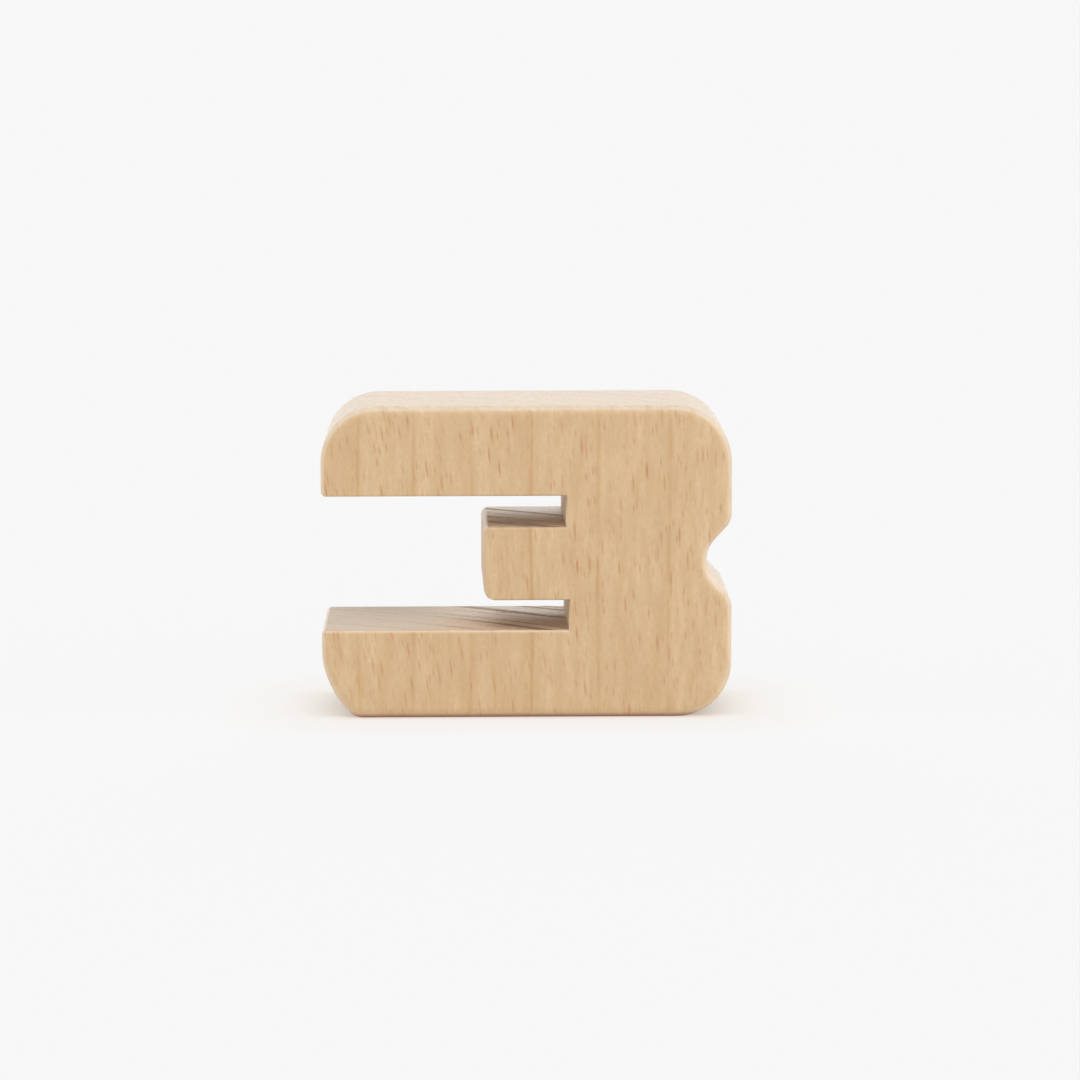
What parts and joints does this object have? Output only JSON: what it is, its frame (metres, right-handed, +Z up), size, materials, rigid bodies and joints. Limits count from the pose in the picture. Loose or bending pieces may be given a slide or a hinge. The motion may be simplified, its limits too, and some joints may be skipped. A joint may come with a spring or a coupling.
{
  "type": "number block",
  "caption": "Free-standing solid wood toy numeral with rounded edges, open arms, a short middle tongue between saw slots and a waist notch.",
  "frame": {"origin": "middle of the underside that the block stands on", "axes": "+X along the arms from their open tips towards the spine, +Y through the thickness from the front face to the back, +Z up"},
  "size_m": [0.06, 0.025, 0.0459],
  "materials": {
    "beech": "bare sanded beech, grain running up the block"
  },
  "bodies": {
    "root": {"number_block": "beech"}
  },
  "joints": []
}
